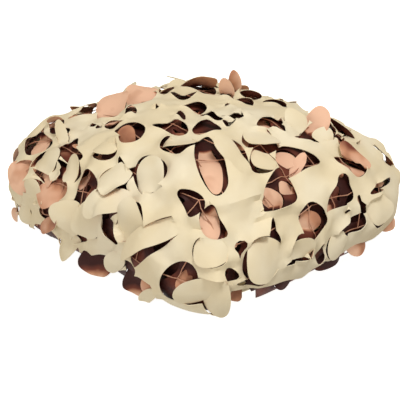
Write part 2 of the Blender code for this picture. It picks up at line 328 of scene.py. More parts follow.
def smooth_dome(flat):
    reach = np.hypot(flat[:, 0], flat[:, 1]).clip(0, FULL_REACH)
    bearing = np.arctan2(flat[:, 1], flat[:, 0])
    across = np.abs(np.cos(bearing)) / HALF_LENGTH
    along = np.abs(np.sin(bearing)) / HALF_WIDTH
    share = np.interp(reach, REACHES, SHARES)
    radius = share * (across ** PLAN_POWER + along ** PLAN_POWER) ** (-1 / PLAN_POWER)
    height = np.interp(reach, REACHES, HEIGHTS)
    height = height * (1 - CORNER_DROP * np.abs(np.sin(2 * bearing)) * share ** 3)
    return np.stack([radius * np.cos(bearing), radius * np.sin(bearing), height], axis=1)


def unit(rows):
    return rows / np.linalg.norm(rows, axis=1, keepdims=True).clip(1e-9)


def dome_normal(flat):
    along_x = smooth_dome(flat + (FLAT_STEP, 0)) - smooth_dome(flat - (FLAT_STEP, 0))
    along_y = smooth_dome(flat + (0, FLAT_STEP)) - smooth_dome(flat - (0, FLAT_STEP))
    return unit(np.cross(along_x, along_y))


print("crown and foot", smooth_dome(np.array([(0.0, 0.0), (FULL_REACH, 0.0)])).round(3).tolist())

# %% [markdown]
# ## Folds
#
# Where the bundle was squeezed the cloth has long soft creases. One row is one crease, a ridge or
# a valley that fades away on either side of a line.

# %% Folds
Fold = namedtuple("Fold", "bearing reach end_bearing end_reach height inner outer")
# height of the crease in millimetres, and how wide it fades on its two sides, left and right of
# the way from start to end as seen from outside
FOLDS = [Fold(*row) for row in (
    (320, 188, 330, 190, 10, 26, 6),
    (319, 210, 330, 212, -7, 8, 22),
    (338, 209, 351, 226, 5, 20, 5),
    (339, 217, 351, 234, -4, 6, 18),
    (320, 258, 320, 330, 9, 11, 11),
    (50, 146, 38, 196, -9, 28, 28),
    (222, 110, 229, 200, -10, 30, 30),
    (309, 174, 309, 206, 6, 6, 20),
    (300, 186, 308, 206, -5, 14, 14),
    (328, 172, 342, 142, 4, 10, 6),
    (300, 300, 305, 270, 5, 8, 14),
    (286, 205, 280, 235, 5, 16, 5),
    (262, 215, 255, 200, -5, 12, 12),
    (270, 250, 275, 225, 6, 8, 16),
    (240, 240, 236, 200, 6, 20, 12),
    (250, 150, 275, 120, 4, 10, 20),
    (300, 140, 285, 60, 3, 18, 8),
    (345, 130, 0, 60, 4, 10, 22),
    (8, 215, 30, 215, 5, 18, 8),
    (0, 262, 350, 284, 4, 8, 14),
    (20, 290, 24, 240, 5, 12, 12),
    (45, 250, 50, 170, 6, 16, 10),
    (80, 230, 72, 140, 6, 12, 18),
    (110, 260, 118, 180, 7, 14, 10),
    (140, 300, 136, 200, 7, 12, 16),
    (165, 240, 175, 160, 6, 18, 10),
    (195, 280, 200, 190, 7, 10, 16),
    (215, 250, 212, 170, 5, 14, 12),
)]


def fold_height(flat):
    """Rise and fall of the folds at flat points."""
    rise = np.zeros(len(flat))
    for fold in FOLDS:
        start = flat_place(fold.bearing, fold.reach / 1000)
        way = flat_place(fold.end_bearing, fold.end_reach / 1000) - start
        share = ((flat - start) @ way / (way @ way)).clip(0, 1)
        off = flat - start - share[:, None] * way
        left = way[0] * off[:, 1] - way[1] * off[:, 0] > 0
        fade = np.where(left, fold.inner, fold.outer) / 1000
        rise += fold.height / 1000 * np.exp(-(np.hypot(*off.T) / fade) ** 2)
    return rise


REST = 0.001  # what touches the floor lies this high, room for its thickness
FAN = 0.05  # waves go outwards and up, as seen from this far below the floor


def dome(flat, layer, lift=0.0):
    """Place of flat cloth points on a layer of the bundle, lifted off it by some height."""
    flat = np.asarray(flat, dtype=float)
    place = smooth_dome(flat)
    settle = (place[:, 2] / WAIST_HEIGHT).clip(0, 1)
    outward = unit(place + (0, 0, FAN))
    wave = RUMPLE_DEPTH * waves(place, RUMPLE_SCALE, 0)
    wave = wave + layer.wrinkle * waves(place, WRINKLE_SCALE, WRINKLE_SEED) + fold_height(flat)
    rise = lift - depth_at(flat, layer)
    place = place + outward * (wave * settle)[:, None] + dome_normal(flat) * rise[:, None]
    place[:, 2] = place[:, 2].clip(REST)
    return place


print("crown heights", [dome([(0, 0)], layer)[0, 2].round(3) for layer in (OUTER, SECOND, THIRD)])

# %% [markdown]
# ## The leaf cuts
#
# One row is one cut, from the root of its leaf to the tip, each given by bearing and reach, in
# degrees and millimetres. An opening, made by `hole`, has its leaf tucked away inside.
#
# - lift: slope of the leaf near its root; curl: what the slope gains by the tip
# - spread, fill: length and width beside those of the opening; below 1 they leave a dark crescent
# - lean: sideways bend; point: drawn-out root end; swing: turn round the root, counter-clockwise
# - tone: colour of the brown side, pink 0 to maroon 1; blush: how much pinker its tip is, a fade
#   that also paints shade at the root and light at the tip
# - cup: how far its sides hang; twist: how much higher its left side is, by chance if not given
# - through: a leaf of a deeper layer that comes out of an opening

# %% Leaf tables
Leaf = namedtuple(
    "Leaf",
    "bearing reach tip_bearing tip_reach width lift curl spread lean point swing tone fill through "
    "blush cup twist",
    defaults=(10, 0.93, 0.0, 0.0, 0.0, 0.1, 0.96, False, 0.0, 0.22, None))

OPEN = None


def hole(*place, **extra):
    """Row of an opening: where it is, how wide, and what is special about it."""
    return Leaf(*place, OPEN, **extra)


TOP_LEAVES = [
    hole(184, 52, 143, 34, 32, lean=-0.1),
    hole(0, 12, 262, 36, 28),
    hole(52, 30, 33, 38, 16),
    hole(6, 62, 0, 76, 8, lean=0.4),
    hole(346, 50, 358, 78, 7),
    hole(318, 24, 337, 60, 22, point=0.3),
    hole(311, 81, 333, 68, 32),
    hole(338, 66, 348, 80, 14),
    hole(277, 101, 308, 84, 27),
    hole(281, 64, 296, 54, 16),
    hole(238, 50, 246, 58, 8),
    Leaf(304, 100, 303, 130, 46, 14, spread=0.86),
    Leaf(138, 95, 141, 62, 66, 34, tone=0.6, fill=1),
    Leaf(108, 86, 100, 62, 24, 78, 0, 1.1, tone=0, fill=1),
    Leaf(109, 112, 103, 90, 20, 84, 0, 1.5, tone=0.3, fill=1),
    Leaf(96, 124, 88, 102, 32, 34, tone=0.9),
    Leaf(73, 116, 61, 108, 36, 34, 0, 1, tone=0.7, fill=1),
    Leaf(155, 76, 157, 104, 30, 35),
    Leaf(168, 88, 178, 64, 22, 20, 0),
    hole(213, 78, 185, 100, 46),
    hole(241, 100, 226, 74, 19),
    hole(242, 128, 254, 106, 18),
    hole(237, 134, 232, 117, 7),
    hole(228, 142, 234, 126, 10),
    hole(228, 104, 201, 118, 46),
]
RIGHT_FACE_LEAVES = [
    hole(359, 97, 11, 124, 22, lean=0.25),
    hole(19, 93, 13, 113, 9),
    Leaf(13, 131, 27, 112, 31, 42, -14, 1.05, fill=1),
    hole(10, 144, 25, 141, 19, lean=-0.15),
    Leaf(22, 162, 29, 138, 32, 16, 0, tone=0),
    hole(25, 121, 36, 150, 36, lean=-0.1),
    hole(26, 169, 33, 158, 16),
    Leaf(31, 164, 43, 177, 20, 10, 0, 1.05),
    Leaf(44, 157, 39, 150, 58, 52, 0, 1, tone=0.65, fill=1, cup=0, twist=0),
    Leaf(44, 218, 41, 213, 36, 36, 0, 1, tone=0.6, fill=1, cup=0, twist=0),
    Leaf(354, 103, 346, 148, 46, 15, spread=0.9, swing=8),
    Leaf(346, 138, 341, 168, 34, 16, 0, spread=0.95, swing=8),
    hole(347, 174, 9, 172, 44, lean=0.1),
    Leaf(26, 194, 18, 210, 44, 146, 16, 0.78, lean=-0.3, tone=0.4, fill=1, cup=0, twist=0),
    hole(336, 209, 352, 190, 42, point=0.2),
    hole(0, 247, 17, 221, 34, point=0.7),
    hole(11, 246, 10, 257, 4),
    hole(17, 240, 18, 267, 12, lean=-0.3),
    hole(21, 242, 34, 237, 9),
    Leaf(23, 242, 24, 292, 44, 24, -20, fill=1),
    hole(4, 281, 18, 271, 19, lean=-0.1),
    hole(350, 263, 358, 235, 40),
    hole(338, 219, 337, 256, 17, point=0.2),
    Leaf(347, 290, 348, 256, 38, 12, spread=0.88),
    hole(341, 285, 350, 291, 5),
    Leaf(9, 286, 0, 304, 32, 22, -16, 1, fill=1),
    hole(356, 280, 357, 310, 14),
]
NEAR_CORNER_LEAVES = [
    hole(318, 90, 322, 178, 34, lean=-0.1),
    Leaf(334, 168, 327, 102, 32, 10, spread=0.96, swing=5),
    hole(310, 179, 316, 201, 24, lean=0.15),
    hole(318, 189, 321, 226, 26, lean=-0.1),
    hole(291, 193, 303, 185, 8, lean=-0.4),
    Leaf(312, 208, 294, 288, 32, 26, -26, 0.98, swing=-9, fill=0.85),
    Leaf(319, 220, 318, 258, 42, 9, 4, 0.97, swing=5, fill=1),
    hole(307, 322, 314, 262, 44),
    Leaf(322, 280, 311, 303, 34, 18, -10, 1.05),
    Leaf(320, 264, 320, 330, 32, 8, 0, 1, fill=1),
    hole(313, 296, 317, 302, 8),
    hole(322, 262, 325, 276, 15),
    hole(326, 253, 327, 231, 13, point=0.6),
    Leaf(341, 273, 327, 259, 52, 12, -6, 1, fill=1, cup=0.1),
    hole(325, 283, 334, 291, 12),
    hole(335, 262, 338, 270, 5),
]
LEFT_FACE_LEAVES = [
    hole(257, 122, 277, 145, 34, lean=0.2),
    Leaf(299, 196, 292, 152, 42, 20, -8, 0.86),
    hole(284, 220, 288, 174, 16, point=0.5),
    Leaf(263, 148, 267, 186, 36, 16, spread=0.88),
    hole(277, 170, 281, 189, 15, point=0.5),
    hole(235, 166, 255, 198, 24, lean=-0.3),
    Leaf(256, 230, 250, 186, 32, 12, 0, 0.92),
    hole(231, 174, 237, 177, 7),
    hole(246, 198, 253, 232, 13, lean=0.4),
    Leaf(241, 230, 237, 184, 54, 16, -10),
    Leaf(284, 172, 278, 222, 46, 22, -16, 1, swing=-12),
    hole(261, 254, 271, 208, 38, point=0.4),
    Leaf(293, 208, 274, 250, 34, 34, -34, 1.08, swing=-6),
    hole(279, 252, 288, 272, 24),
    Leaf(287, 262, 299, 219, 42, 26, -26, 0.98, swing=10, fill=0.95),
    Leaf(266, 296, 256, 250, 43, 32, -34, 1.03, fill=1),
    hole(236, 214, 247, 238, 15),
    hole(256, 226, 247, 257, 28),
    Leaf(243, 276, 241, 238, 30, 30, -20, 1.05),
    hole(233, 218, 233, 266, 58),
    Leaf(275, 236, 268, 288, 44, 26, -20, 1, fill=1),
    hole(267, 284, 266, 300, 16),
    Leaf(290, 284, 283, 314, 26, 34, -30, 1.1),
    hole(260, 284, 259, 296, 12),
    Leaf(232, 264, 230, 284, 46, 20, -10, 1.1, fill=1),
    Leaf(229, 310, 229, 288, 32, 150, 10, 1.1, tone=0.05, fill=1, twist=0, cup=-0.2),
    Leaf(252, 286, 248, 264, 46, 154, 10, 1.15, tone=0.35, fill=1, twist=0, cup=-0.2),
    Leaf(213, 167, 225, 171, 18, 50, -10, 0.75, tone=0.05, fill=1),
    Leaf(236, 178, 223, 157, 18, 40, 0),
    Leaf(237, 282, 235, 318, 26, 20, -10),
    hole(294, 288, 291, 312, 26),
]
HEM_LEAVES = [
    Leaf(258, 296, 262, 325, 44, 46, 0, 1.1, fill=1),
    Leaf(304, 316, 297, 342, 15, 30, 0),
]
print("leaf cuts in the tables", sum(map(len, (
    TOP_LEAVES, RIGHT_FACE_LEAVES, NEAR_CORNER_LEAVES, LEFT_FACE_LEAVES, HEM_LEAVES))))

# %% [markdown]
# ## One cut
#
# The outline of a cut is an egg shape drawn on the dome and carried back to the flat cloth. A leaf
# is bent by walking along its middle line, whose slope grows from the root and then curls.

# %% One cut: its outline in the flat, and its leaf on the dome
NECK = 0.62  # width of the root beside that of the leaf
EGG = 0.18  # how much fuller the tip end is than the root end
WOBBLE = 0.045  # unevenness of the knife
ROUNDNESS = 0.86  # 1 is an ellipse, less is squarer
POINT_MIDDLE = 1.3  # a drawn-out root end leaves the width as it is about here
QUIRK_TURNS = (12.9, 4.1)  # bearing and reach give each cut its own small differences
CHANCE_TWIST = 0.35
CUT_STEP = 0.0036  # spacing of points round a cut
LEAF_RISE = 0.3  # share of a leaf over which it gets its slope
LEAF_END = 1.2  # the wobble takes some tips this far


class CutLeaf:
    """One leaf cut: its outline in the flat cloth, and where its tongue stands on the dome."""

    def __init__(self, leaf):
        self.leaf = leaf
        self.width = leaf.width / 1000
        self.is_open = leaf.lift is OPEN
        self.root = flat_place(leaf.bearing, leaf.reach / 1000)
        tip = flat_place(leaf.tip_bearing, leaf.tip_reach / 1000)
        self.middle = (self.root + tip) / 2
        sides = FLAT_STEP * np.array([(1, 0), (-1, 0), (0, 1), (0, -1)])
        ends = smooth_dome(self.middle + sides)
        runs = np.stack([ends[0] - ends[1], ends[2] - ends[3]], axis=1) / (2 * FLAT_STEP)
        normal = np.cross(runs[:, 0], runs[:, 1])
        forward = runs @ (tip - self.root)
        self.length = np.linalg.norm(forward)
        forward /= self.length
        sideways = np.cross(normal / np.linalg.norm(normal), forward)
        self.along = np.linalg.lstsq(runs, forward, rcond=None)[0]
        self.across = np.linalg.lstsq(runs, sideways, rcond=None)[0]
        self.start = 0.0 if self.is_open else math.asin(NECK)
        self.root_forward = self.length * (1 - math.cos(self.start)) / 2
        self.radius = 0.9 * max(self.length, self.width)
        self.quirk = math.sin(leaf.bearing * QUIRK_TURNS[0] + leaf.reach * QUIRK_TURNS[1])
        self.twist = CHANCE_TWIST * self.quirk if leaf.twist is None else leaf.twist

    def near(self, points, margin=0):
        """Which flat points may lie in the opening, or this close to it."""
        return np.where(np.hypot(*(points - self.middle).T) < self.radius + margin)[0]

    def sway(self, forward):
        """Sideways bend of the middle line: a bow for an opening, a sweep for a leaf."""
        share = forward / self.length
        bend = 2 * np.sin(np.pi * share) - 1 if self.is_open else share ** 2
        return self.leaf.lean * self.width * bend

    def flat(self, forward, side):
        forward = np.asarray(forward)[:, None]
        return self.root + self.along * forward + self.across * np.asarray(side)[:, None]

    def local(self, points):
        """Forward and side distance of flat points from the root."""
        matrix = np.stack([self.along, self.across], axis=1)
        return np.linalg.solve(matrix, (points - self.root).T)

    def outline(self):
        """Flat points round the cut, a leaf's root line last, and how many are on that line."""
        around = max(14, int(math.pi * (self.length + self.width) / 2 / CUT_STEP))
        turn = np.linspace(self.start, 2 * math.pi - self.start, around, endpoint=not self.is_open)
        wobble = 1 + WOBBLE * np.sin(3 * turn + self.quirk * 9) * np.sin(turn / 2) ** 2
        forward = self.length * (1 - np.cos(turn)) / 2 * wobble
        taper = (1 - np.cos(turn)).clip(1e-6) ** self.leaf.point / POINT_MIDDLE ** self.leaf.point
        round_side = np.sign(np.sin(turn)) * np.abs(np.sin(turn)) ** ROUNDNESS
        side = -round_side * self.width / 2 * (1 - EGG * np.cos(turn)) * wobble * taper
        side = side + self.sway(forward)
        if self.is_open:
            return self.flat(forward, side), 0
        inner = max(2, int(abs(side[0] - side[-1]) / CUT_STEP))
        share = np.arange(1, inner) / inner
        forward, side = (np.concatenate([way, way[-1] + (way[0] - way[-1]) * share])
                         for way in (forward, side))
        return self.flat(forward, side), inner - 1

    def tones(self, points):
        """Tone of the brown side at flat points: the leaf's own, and pinker towards the tip, which
        also paints shade at the root and light at the tip.
        """
        share = (self.local(points)[0] / self.length).clip(0, 1)
        return self.leaf.tone - self.leaf.blush * share ** 4

    def stand(self, points, layer, ceiling=None):
        """Place on the bent leaf of flat points of the opening."""
        forward, side = self.local(points)
        free = self.length - self.root_forward
        share = ((forward - self.root_forward) / free).clip(0, LEAF_END)
        path = np.linspace(0, LEAF_END, 49)
        slope = np.radians(self.leaf.lift * np.minimum(1, path / LEAF_RISE) + self.leaf.curl * path)
        piece = free * self.leaf.spread * np.diff(path)
        ahead = np.concatenate([[0], np.cumsum(piece * np.cos(slope[:-1]))])
        risen = np.concatenate([[0], np.cumsum(piece * np.sin(slope[:-1]))])
        free_share = np.minimum(1, share * 2)
        side = side - self.sway(forward)
        narrow = 1 + (self.leaf.fill - 1) * free_share
        lift = np.interp(share, path, risen)
        lift = lift - self.leaf.cup * side ** 2 / self.width * free_share
        lift = lift + self.twist * side * free_share
        ahead = np.interp(share, path, ahead)
        side = side * narrow + self.sway(forward)
        turn = math.radians(self.leaf.swing) * free_share
        flat = self.flat(self.root_forward + ahead * np.cos(turn) - side * np.sin(turn),
                         ahead * np.sin(turn) + side * np.cos(turn))
        if ceiling is not None:
            lift = np.minimum(lift, ceiling(flat))
        return dome(flat, layer, lift)


print("one leaf", CutLeaf(LEFT_FACE_LEAVES[0]).outline()[0].shape)

# %% [markdown]
# ## More cuts, where the tables leave room
#
# The rest of the cloth is cut by the same tool, so a seeded rule fills it with leaves of the same
# sizes and keeps them apart.

# %% Room between cuts
def inside(points, outline):
    """Which flat points lie inside a closed outline."""
    x0, y0 = np.roll(outline, 1, axis=0).T
    x1, y1 = outline.T
    across, up = points[:, :1], points[:, 1:]
    crosses = (y1 > up) != (y0 > up)
    at = (x0 - x1) * (up - y1) / np.where(y0 == y1, 1e-12, y0 - y1) + x1
    return (crosses & (across < at)).sum(axis=1) % 2 == 1


def distance(points, outline):
    """Distance from flat points to the nearest point of a closed outline."""
    if not len(points):
        return np.zeros(0)
    before = np.roll(outline, 1, axis=0)
    edge = before - outline
    squared = (edge ** 2).sum(axis=1).clip(1e-12)
    offset = points[:, None, :] - outline[None, :, :]
    share = ((offset * edge).sum(axis=2) / squared).clip(0, 1)
    return np.linalg.norm(offset - edge * share[:, :, None], axis=2).min(axis=1)


def has_room(cut, outline, placed, gap):
    for other, other_outline in placed:
        if np.linalg.norm(cut.middle - other.middle) > cut.radius + other.radius + gap:
            continue
        if inside(outline[:1], other_outline)[0] or inside(other_outline[:1], outline)[0]:
            return False
        if distance(outline, other_outline).min() < gap:
            return False
    return True


NEAR_CORNER = 318  # bearing of the corner that the tables are written round
TOP_REACH = 140  # the crown inside this reach is described further round the back
TOP_SECTOR = 118
LEFT_SECTOR = 98  # degrees from the near corner to the end of the rows on either side
RIGHT_SECTOR = 88
OUTLINE_BAND = 20  # this many degrees further on, seeded cuts are openings with no leaf
TRIES = 60  # places tried for each seeded cut
LIFT_AT_CROWN = 0.1  # seeded leaves stand this much of their lift on top, all of it low down


def described(bearing, reach, band=0):
    """Whether a point is where the tables give the outer cuts, or within a band of that."""
    off = (bearing - NEAR_CORNER + 180) % 360 - 180
    if reach < TOP_REACH:
        return abs(off) < TOP_SECTOR + band
    return -LEFT_SECTOR - band < off < RIGHT_SECTOR + band


def seeded_leaf(chance, limit, open_share, lifts, sizes, tones):
    """One cut at a random place. lifts and sizes are ranges, tones are a few to choose from."""
    reach = limit * math.sqrt(chance.uniform(0.01, 1.0)) * 1000
    bearing = chance.uniform(0, 360)
    length = chance.uniform(*sizes)
    turn = math.radians(bearing + chance.gauss(0, 60))
    tip = flat_place(bearing, reach) + length * np.array([math.cos(turn), math.sin(turn)])
    low = reach / (1000 * FULL_REACH)
    return Leaf(
        bearing, reach, math.degrees(math.atan2(tip[1], tip[0])), float(np.hypot(*tip)),
        width=length * chance.uniform(0.45, 0.85),
        lift=OPEN if chance.random() < open_share
        else chance.uniform(*lifts) * (LIFT_AT_CROWN + (1 - LIFT_AT_CROWN) * low ** 2),
        curl=chance.uniform(5, 25), spread=chance.uniform(0.8, 1.1),
        lean=chance.uniform(-0.35, 0.35), point=chance.choice((0, 0, 0.4, 0.8)),
        swing=chance.uniform(-20, 20), tone=chance.choice(tones), fill=chance.uniform(0.75, 0.95))


def place_cuts(rows, more, seed, limit, open_share, lifts, sizes, gap, tones, spared=False):
    """Cuts of the given rows, then seeded ones, outside what the tables describe if spared."""
    cuts = [CutLeaf(leaf) for leaf in rows]
    placed = [(cut, cut.outline()[0]) for cut in cuts]
    chance = random.Random(seed)
    goal = len(placed) + more
    for _ in range(TRIES * more):
        if len(placed) >= goal:
            break
        leaf = seeded_leaf(chance, limit, open_share, lifts, sizes, tones)
        if spared and described(leaf.bearing, leaf.reach):
            continue
        if spared and described(leaf.bearing, leaf.reach, OUTLINE_BAND):
            leaf = leaf._replace(lift=OPEN)
        cut = CutLeaf(leaf)
        outline = cut.outline()[0]
        if np.hypot(*outline.T).max() > limit or not has_room(cut, outline, placed, gap):
            continue
        placed.append((cut, outline))
    return placed


print("cut rule ready")

# %% [markdown]
# ## Points of a layer
#
# A layer starts as points of flat cloth: its hem, the outlines of its cuts, and staggered rows of
# points between them.

# %% Points between the cuts
ROW_STEP = 0.866  # height of a triangle with sides of 1
EDGE_CLEARANCE = 0.55  # points keep this share of their spacing from every edge


def staggered(spacing, limit):
    rows = int(limit / (spacing * ROW_STEP)) + 1
    index = np.arange(-rows, rows + 1)
    column, row = np.meshgrid(index, index)
    places = [(column + 0.5 * (row % 2)) * spacing, row * spacing * ROW_STEP]
    points = np.stack(places, axis=-1).reshape(-1, 2)
    return points[np.hypot(*points.T) < limit]


def clear_of_cuts(points, placed, clearance):
    """The points that keep clear of every outline."""
    keep = np.ones(len(points), dtype=bool)
    for cut, outline in placed:
        near = cut.near(points, clearance)
        keep[near] &= distance(points[near], outline) > clearance
    return points[keep]


print("points at 20 mm", len(staggered(0.02, FULL_REACH)))

# %% [markdown]
# ## The hem
#
# The edge of the cloth is scalloped where it passes through leaf cuts. Each pair is a bearing and
# the reach of the hem there. Deeper layers reach further down, and show under the scallops.

# %% The hem
HEM_REACHES = {
    0: 312, 8: 314, 14: 312, 20: 314, 26: 318, 32: 306, 45: 326, 52: 342, 60: 318, 68: 336,
    76: 310, 84: 332, 92: 344, 100: 316, 108: 336, 116: 308, 124: 334, 132: 345, 140: 326,
    148: 310, 156: 338, 164: 318, 172: 342, 180: 314, 188: 338, 196: 308, 204: 336, 212: 318,
    222: 318, 231: 322, 236: 326, 240: 308, 246: 302, 250: 304, 255: 320, 260: 330, 263: 318,
    270: 316, 275: 308, 280: 302, 285: 308, 288: 312, 292: 312, 296: 306, 302: 306, 304: 325,
    307: 344, 311: 346, 317: 346, 321: 345, 324: 296, 330: 296, 334: 303, 340: 312, 347: 322,
    352: 330, 356: 318, 360: 312}
DRAWN_UP = 0.300  # where the hem is drawn up above this reach, so are the layers under it
HEM_WAVE = 0.003  # a slight wave of the hem besides
LONGEST_HEM = FULL_REACH - 0.002


def hem_outline(further, count):
    """Edge of a layer: the hem of the table, let out by a length but never past the floor."""
    bearing = np.linspace(0, 360, count, endpoint=False)
    reach = np.interp(bearing, list(HEM_REACHES), list(HEM_REACHES.values())) / 1000
    reach = reach + np.where(reach > DRAWN_UP, further, 0)
    wave = HEM_WAVE * np.sin(np.radians(bearing * 17)) * np.sin(np.radians(bearing * 5 + 40))
    turn = np.radians(bearing)
    way = np.stack([np.cos(turn), np.sin(turn)], axis=1)
    return np.minimum(reach + wave, LONGEST_HEM)[:, None] * way


print("hem spans", hem_outline(0, 60).min().round(3), "to", hem_outline(0, 60).max().round(3))

# %% [markdown]
# ## Freed edges, and the mesh
#
# Cloth round a cut curls out or in by a few millimetres. The mesh keeps its flat pattern as UVs,
# and carries the tone of its brown side.

# %% Freed edges, and the mesh
LIP_WIDTH = 0.014  # how far from a cut its lip begins
LIP_BIAS = 0.4  # more of a lip turns out than in
LIP_TURN = 1.7  # where it turns out, differs from cut to cut


def lip_height(flat, placed, lip):
    """How far the cloth round each cut curls out or in."""
    rise = np.zeros(len(flat))
    for number, (cut, outline) in enumerate(placed):
        near = cut.near(flat, LIP_WIDTH)
        away = distance(flat[near], outline)
        turn = np.arctan2(*(flat[near] - cut.middle).T)
        side = LIP_BIAS + np.sin(turn * 2 + number * LIP_TURN)
        rise[near] += lip * side * (1 - away / LIP_WIDTH).clip(0, 1) ** 2
    return rise


def cloth_object(name, places, faces, flat, tone):
    """Mesh object of a cloth, with its flat pattern as UVs and the tone of its brown side."""
    mesh = bpy.data.meshes.new(name)
    mesh.from_pydata([tuple(place) for place in places], [], faces)
    pattern = mesh.uv_layers.new(name="flat")
    corners = np.array([loop.vertex_index for loop in mesh.loops])
    pattern.data.foreach_set("uv", flat[corners].astype(np.float32).ravel())
    tones = mesh.attributes.new("tone", "FLOAT", "POINT")
    tones.data.foreach_set("value", np.asarray(tone, dtype=np.float32))
    tidy = bmesh.new()
    tidy.from_mesh(mesh)
    loose = [vertex for vertex in tidy.verts if not vertex.link_faces]
    bmesh.ops.delete(tidy, geom=loose, context="VERTS")
    tidy.to_mesh(mesh)
    tidy.free()
    return add_object(name, mesh)


print("a lip is", LIP_WIDTH, "m wide")

# %% [markdown]
# ## One layer
#
# One triangulation joins the hem, the outlines of the cuts and the points between them, with every
# outline kept as an edge. Triangles of an opening are left out. Those of a leaf are cut free along
# the outline, kept joined at the root and stood up. So cloth and leaves are one mesh.

# %% Triangles of a cut layer
BULGE = 0.004  # how far a layer swells into the openings above it
TRIANGLES_INSIDE = 1  # what the triangulator is asked for: only those within the outlines
SAME_PLACE = 1e-7


def cut_layer(name, layer, placed, hem, spacing, lip, tone, ceiling=None):
    """Mesh object of one leaf-cut layer over the dome, one cloth thickness still to come."""
    loose = staggered(spacing, np.hypot(*hem.T).max())
    loose = loose[inside(loose, hem)]
    loose = loose[distance(loose, hem) > EDGE_CLEARANCE * spacing]
    loose = clear_of_cuts(loose, placed, EDGE_CLEARANCE * spacing)
    blocks = [hem] + [outline for _, outline in placed] + [loose]
    points = np.concatenate(blocks)
    starts = np.cumsum([0] + [len(block) for block in blocks])
    loops = [list(range(start, end)) for start, end in zip(starts[:-2], starts[1:-1])]
    flat, _, faces, origins, _, owners = delaunay_2d_cdt(
        [Vector(point) for point in points], [], loops, TRIANGLES_INSIDE, SAME_PLACE, True)
    flat = np.array([(p.x, p.y) for p in flat])
    made_from = {old: new for new, olds in enumerate(origins) for old in olds}
    rise = lip_height(flat, placed, lip)
    if ceiling is not None:
        rise = np.minimum(rise + BULGE, ceiling(flat))
    places = [dome(flat, layer, rise)]
    tones = [np.full(len(flat), tone)]
    count = len(flat)
    sheet_faces = [face for face, owner in zip(faces, owners) if list(owner) == [0]]
    leaf_faces = [[] for _ in placed]
    for face, owner in zip(faces, owners):
        for number in set(owner) - {0}:
            leaf_faces[number - 1].append(face)
    held = {i for face in sheet_faces for i in face}
    kept = list(sheet_faces)
    flats = [flat]
    for (cut, outline), own, loop in zip(placed, leaf_faces, loops[1:]):
        if cut.is_open or not own:
            continue
        on_root = cut.outline()[1]
        root = {made_from[i] for i in (loop[0], *loop[len(loop) - on_root - 1:])}
        members = sorted({i for face in own for i in face} - (root & held))
        index = {old: count + new for new, old in enumerate(members)}
        places.append(cut.stand(flat[members], layer, None if cut.leaf.through else ceiling))
        flats.append(flat[members])
        tones.append(cut.tones(flat[members]))
        count += len(members)
        kept += [[index.get(i, i) for i in face] for face in own]
    return cloth_object(
        name, np.concatenate(places), kept, np.concatenate(flats), np.concatenate(tones))


print("cloth cutter ready")

# %% [markdown]
# ## Thickness
#
# Each layer is made as a surface. It gets its thickness last, towards the inside, with one finish
# on its outer side and edges and the other on its inner side.

# %% Thickness, and telling the frame what a layer is
CLOTH = 0.0008  # thickness
CRISP_ANGLE = math.radians(40)


def finish_cloth(piece, outer_side, inner_side):
    """Give the sheet its thickness inwards, its two sides, and smooth shading with crisp edges."""
    piece.data.materials.append(outer_side)
    piece.data.materials.append(inner_side)
    solid = piece.modifiers.new("thickness", "SOLIDIFY")
    solid.thickness = CLOTH
    solid.offset = -1.0
    solid.use_even_offset = False
    solid.material_offset = 1
    solid.material_offset_rim = 0
    bpy.ops.object.select_all(action="DESELECT")
    piece.select_set(True)
    bpy.context.view_layer.objects.active = piece
    bpy.ops.object.modifier_apply(modifier=solid.name)
    bpy.ops.object.shade_smooth_by_angle(angle=CRISP_ANGLE)
    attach(piece, "root")
    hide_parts("camo_cloth")
    print(piece.name, len(piece.data.polygons), "faces")


print("cloth thickness", CLOTH)

# %% [markdown]
# ## The outer layer
#
# Sand side out. Its leaves are the ones that make the outline of the bundle.

# %% Outer layer
rows = TOP_LEAVES + RIGHT_FACE_LEAVES + NEAR_CORNER_LEAVES + LEFT_FACE_LEAVES + HEM_LEAVES
outer_cuts = place_cuts(
    rows, more=180, seed=7, limit=FULL_REACH - 0.036, open_share=0.4, lifts=(16, 48),
    sizes=(30, 60), gap=0.0026, tones=(0, 0.2, 0.4, 0.9), spared=True)
outer = cut_layer("outer_layer", OUTER, outer_cuts, hem_outline(further=0, count=300),
                  spacing=0.0052, lip=0.004, tone=0.15)
finish_cloth(outer, SAND, BROWN_AND_SHADE)
print("outer cuts", len(outer_cuts))

# %% [markdown]
# ## The second layer
#
# The next fold lies about a centimetre further in, with its brown back outwards. It has its own
# cuts. Under the outer layer it is pressed flat, and in the openings it swells out a little, so
# its leaves show there. `ceiling` gives that limit: how high the layer may rise at a flat point.

# %% Second layer
PRESSED_GAP = 0.0035  # a layer stays this far below the outer one
FREE_RIM = 0.002  # and begins to rise this far inside an opening


def under_outer(layer, above, steep):
    """Limit on the rise of a layer: below the cloth outside, and free in its openings."""
    openings = [(cut, outline) for cut, outline in outer_cuts if cut.is_open]

    def ceiling(flat):
        limit = depth_at(flat, layer) - PRESSED_GAP
        for cut, outline in openings:
            near = cut.near(flat)
            held = inside(flat[near], outline)
            room = distance(flat[near], outline) * held
            limit[near] += np.minimum(above, (room - FREE_RIM).clip(0) * steep)
        return limit

    return ceiling


COMPANION_WIDTH = 20  # seeded openings wider than this may show a leaf of the second layer
COMPANION_RISE = 0.013


def shown(*row, **extra):
    """Row of a leaf that comes out of an opening in full width."""
    return Leaf(*row, fill=1, through=True, **extra)


